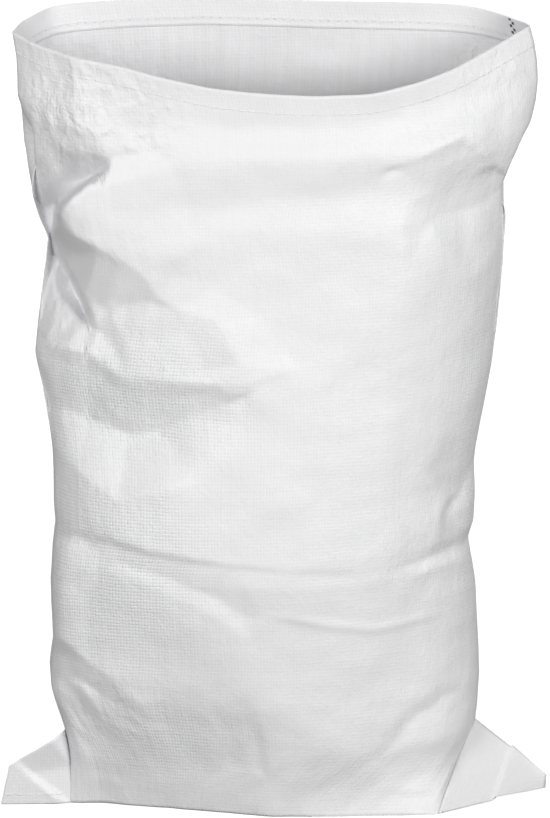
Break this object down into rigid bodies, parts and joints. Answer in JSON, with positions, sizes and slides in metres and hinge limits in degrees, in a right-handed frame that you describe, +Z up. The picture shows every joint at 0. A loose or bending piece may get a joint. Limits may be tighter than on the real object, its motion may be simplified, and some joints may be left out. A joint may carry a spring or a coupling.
{
  "type": "woven polypropylene sack",
  "caption": "Open-mouth sack of white woven polypropylene tape cloth standing empty on its base, with turned-in stitched mouth, folded and stitched bottom seam and free bottom corners",
  "frame": {"origin": "on the floor under the middle of the base, on the line between the roots of the two bottom corners", "axes": "+X along the bottom seam to the right corner, -Y the front, +Z up"},
  "size_m": [0.55, 0.2262, 0.805],
  "materials": {
    "woven_cloth": "plain weave of flat white polypropylene tapes, slightly glossy, crumpled",
    "sewing_thread": "white polyester sewing thread in a two-thread chain stitch",
    "marker_tape": "plum-brown coloured warp tape woven into the cloth"
  },
  "bodies": {
    "sack": {"front_panel": "woven_cloth", "back_panel": "woven_cloth", "mouth_hem_front": "woven_cloth", "mouth_hem_back": "woven_cloth", "mouth_needle_thread": "sewing_thread", "mouth_looper_thread": "sewing_thread", "base_front": "woven_cloth", "base_back": "woven_cloth", "bottom_hem": "woven_cloth", "bottom_needle_thread": "sewing_thread", "bottom_looper_thread": "sewing_thread", "marker_tape_outer": "marker_tape", "marker_tape_inner": "marker_tape"},
    "left_ear": {"left_ear_front_ply": "woven_cloth", "left_ear_back_ply": "woven_cloth", "left_ear_hem": "woven_cloth", "left_ear_needle_thread": "sewing_thread", "left_ear_looper_thread": "sewing_thread"},
    "right_ear": {"right_ear_front_ply": "woven_cloth", "right_ear_back_ply": "woven_cloth", "right_ear_hem": "woven_cloth", "right_ear_needle_thread": "sewing_thread", "right_ear_looper_thread": "sewing_thread"}
  },
  "joints": [
    {"name": "left_ear_swing", "type": "hinge", "parent": "sack", "child": "left_ear", "pos_m": [-0.20605, 0, 0], "axis": [-0.1326, 0, 0.9912], "range_deg": [-60, 60]},
    {"name": "right_ear_swing", "type": "hinge", "parent": "sack", "child": "right_ear", "pos_m": [0.1934, 0, 0], "axis": [0.1215, 0, 0.9926], "range_deg": [-60, 60]}
  ]
}
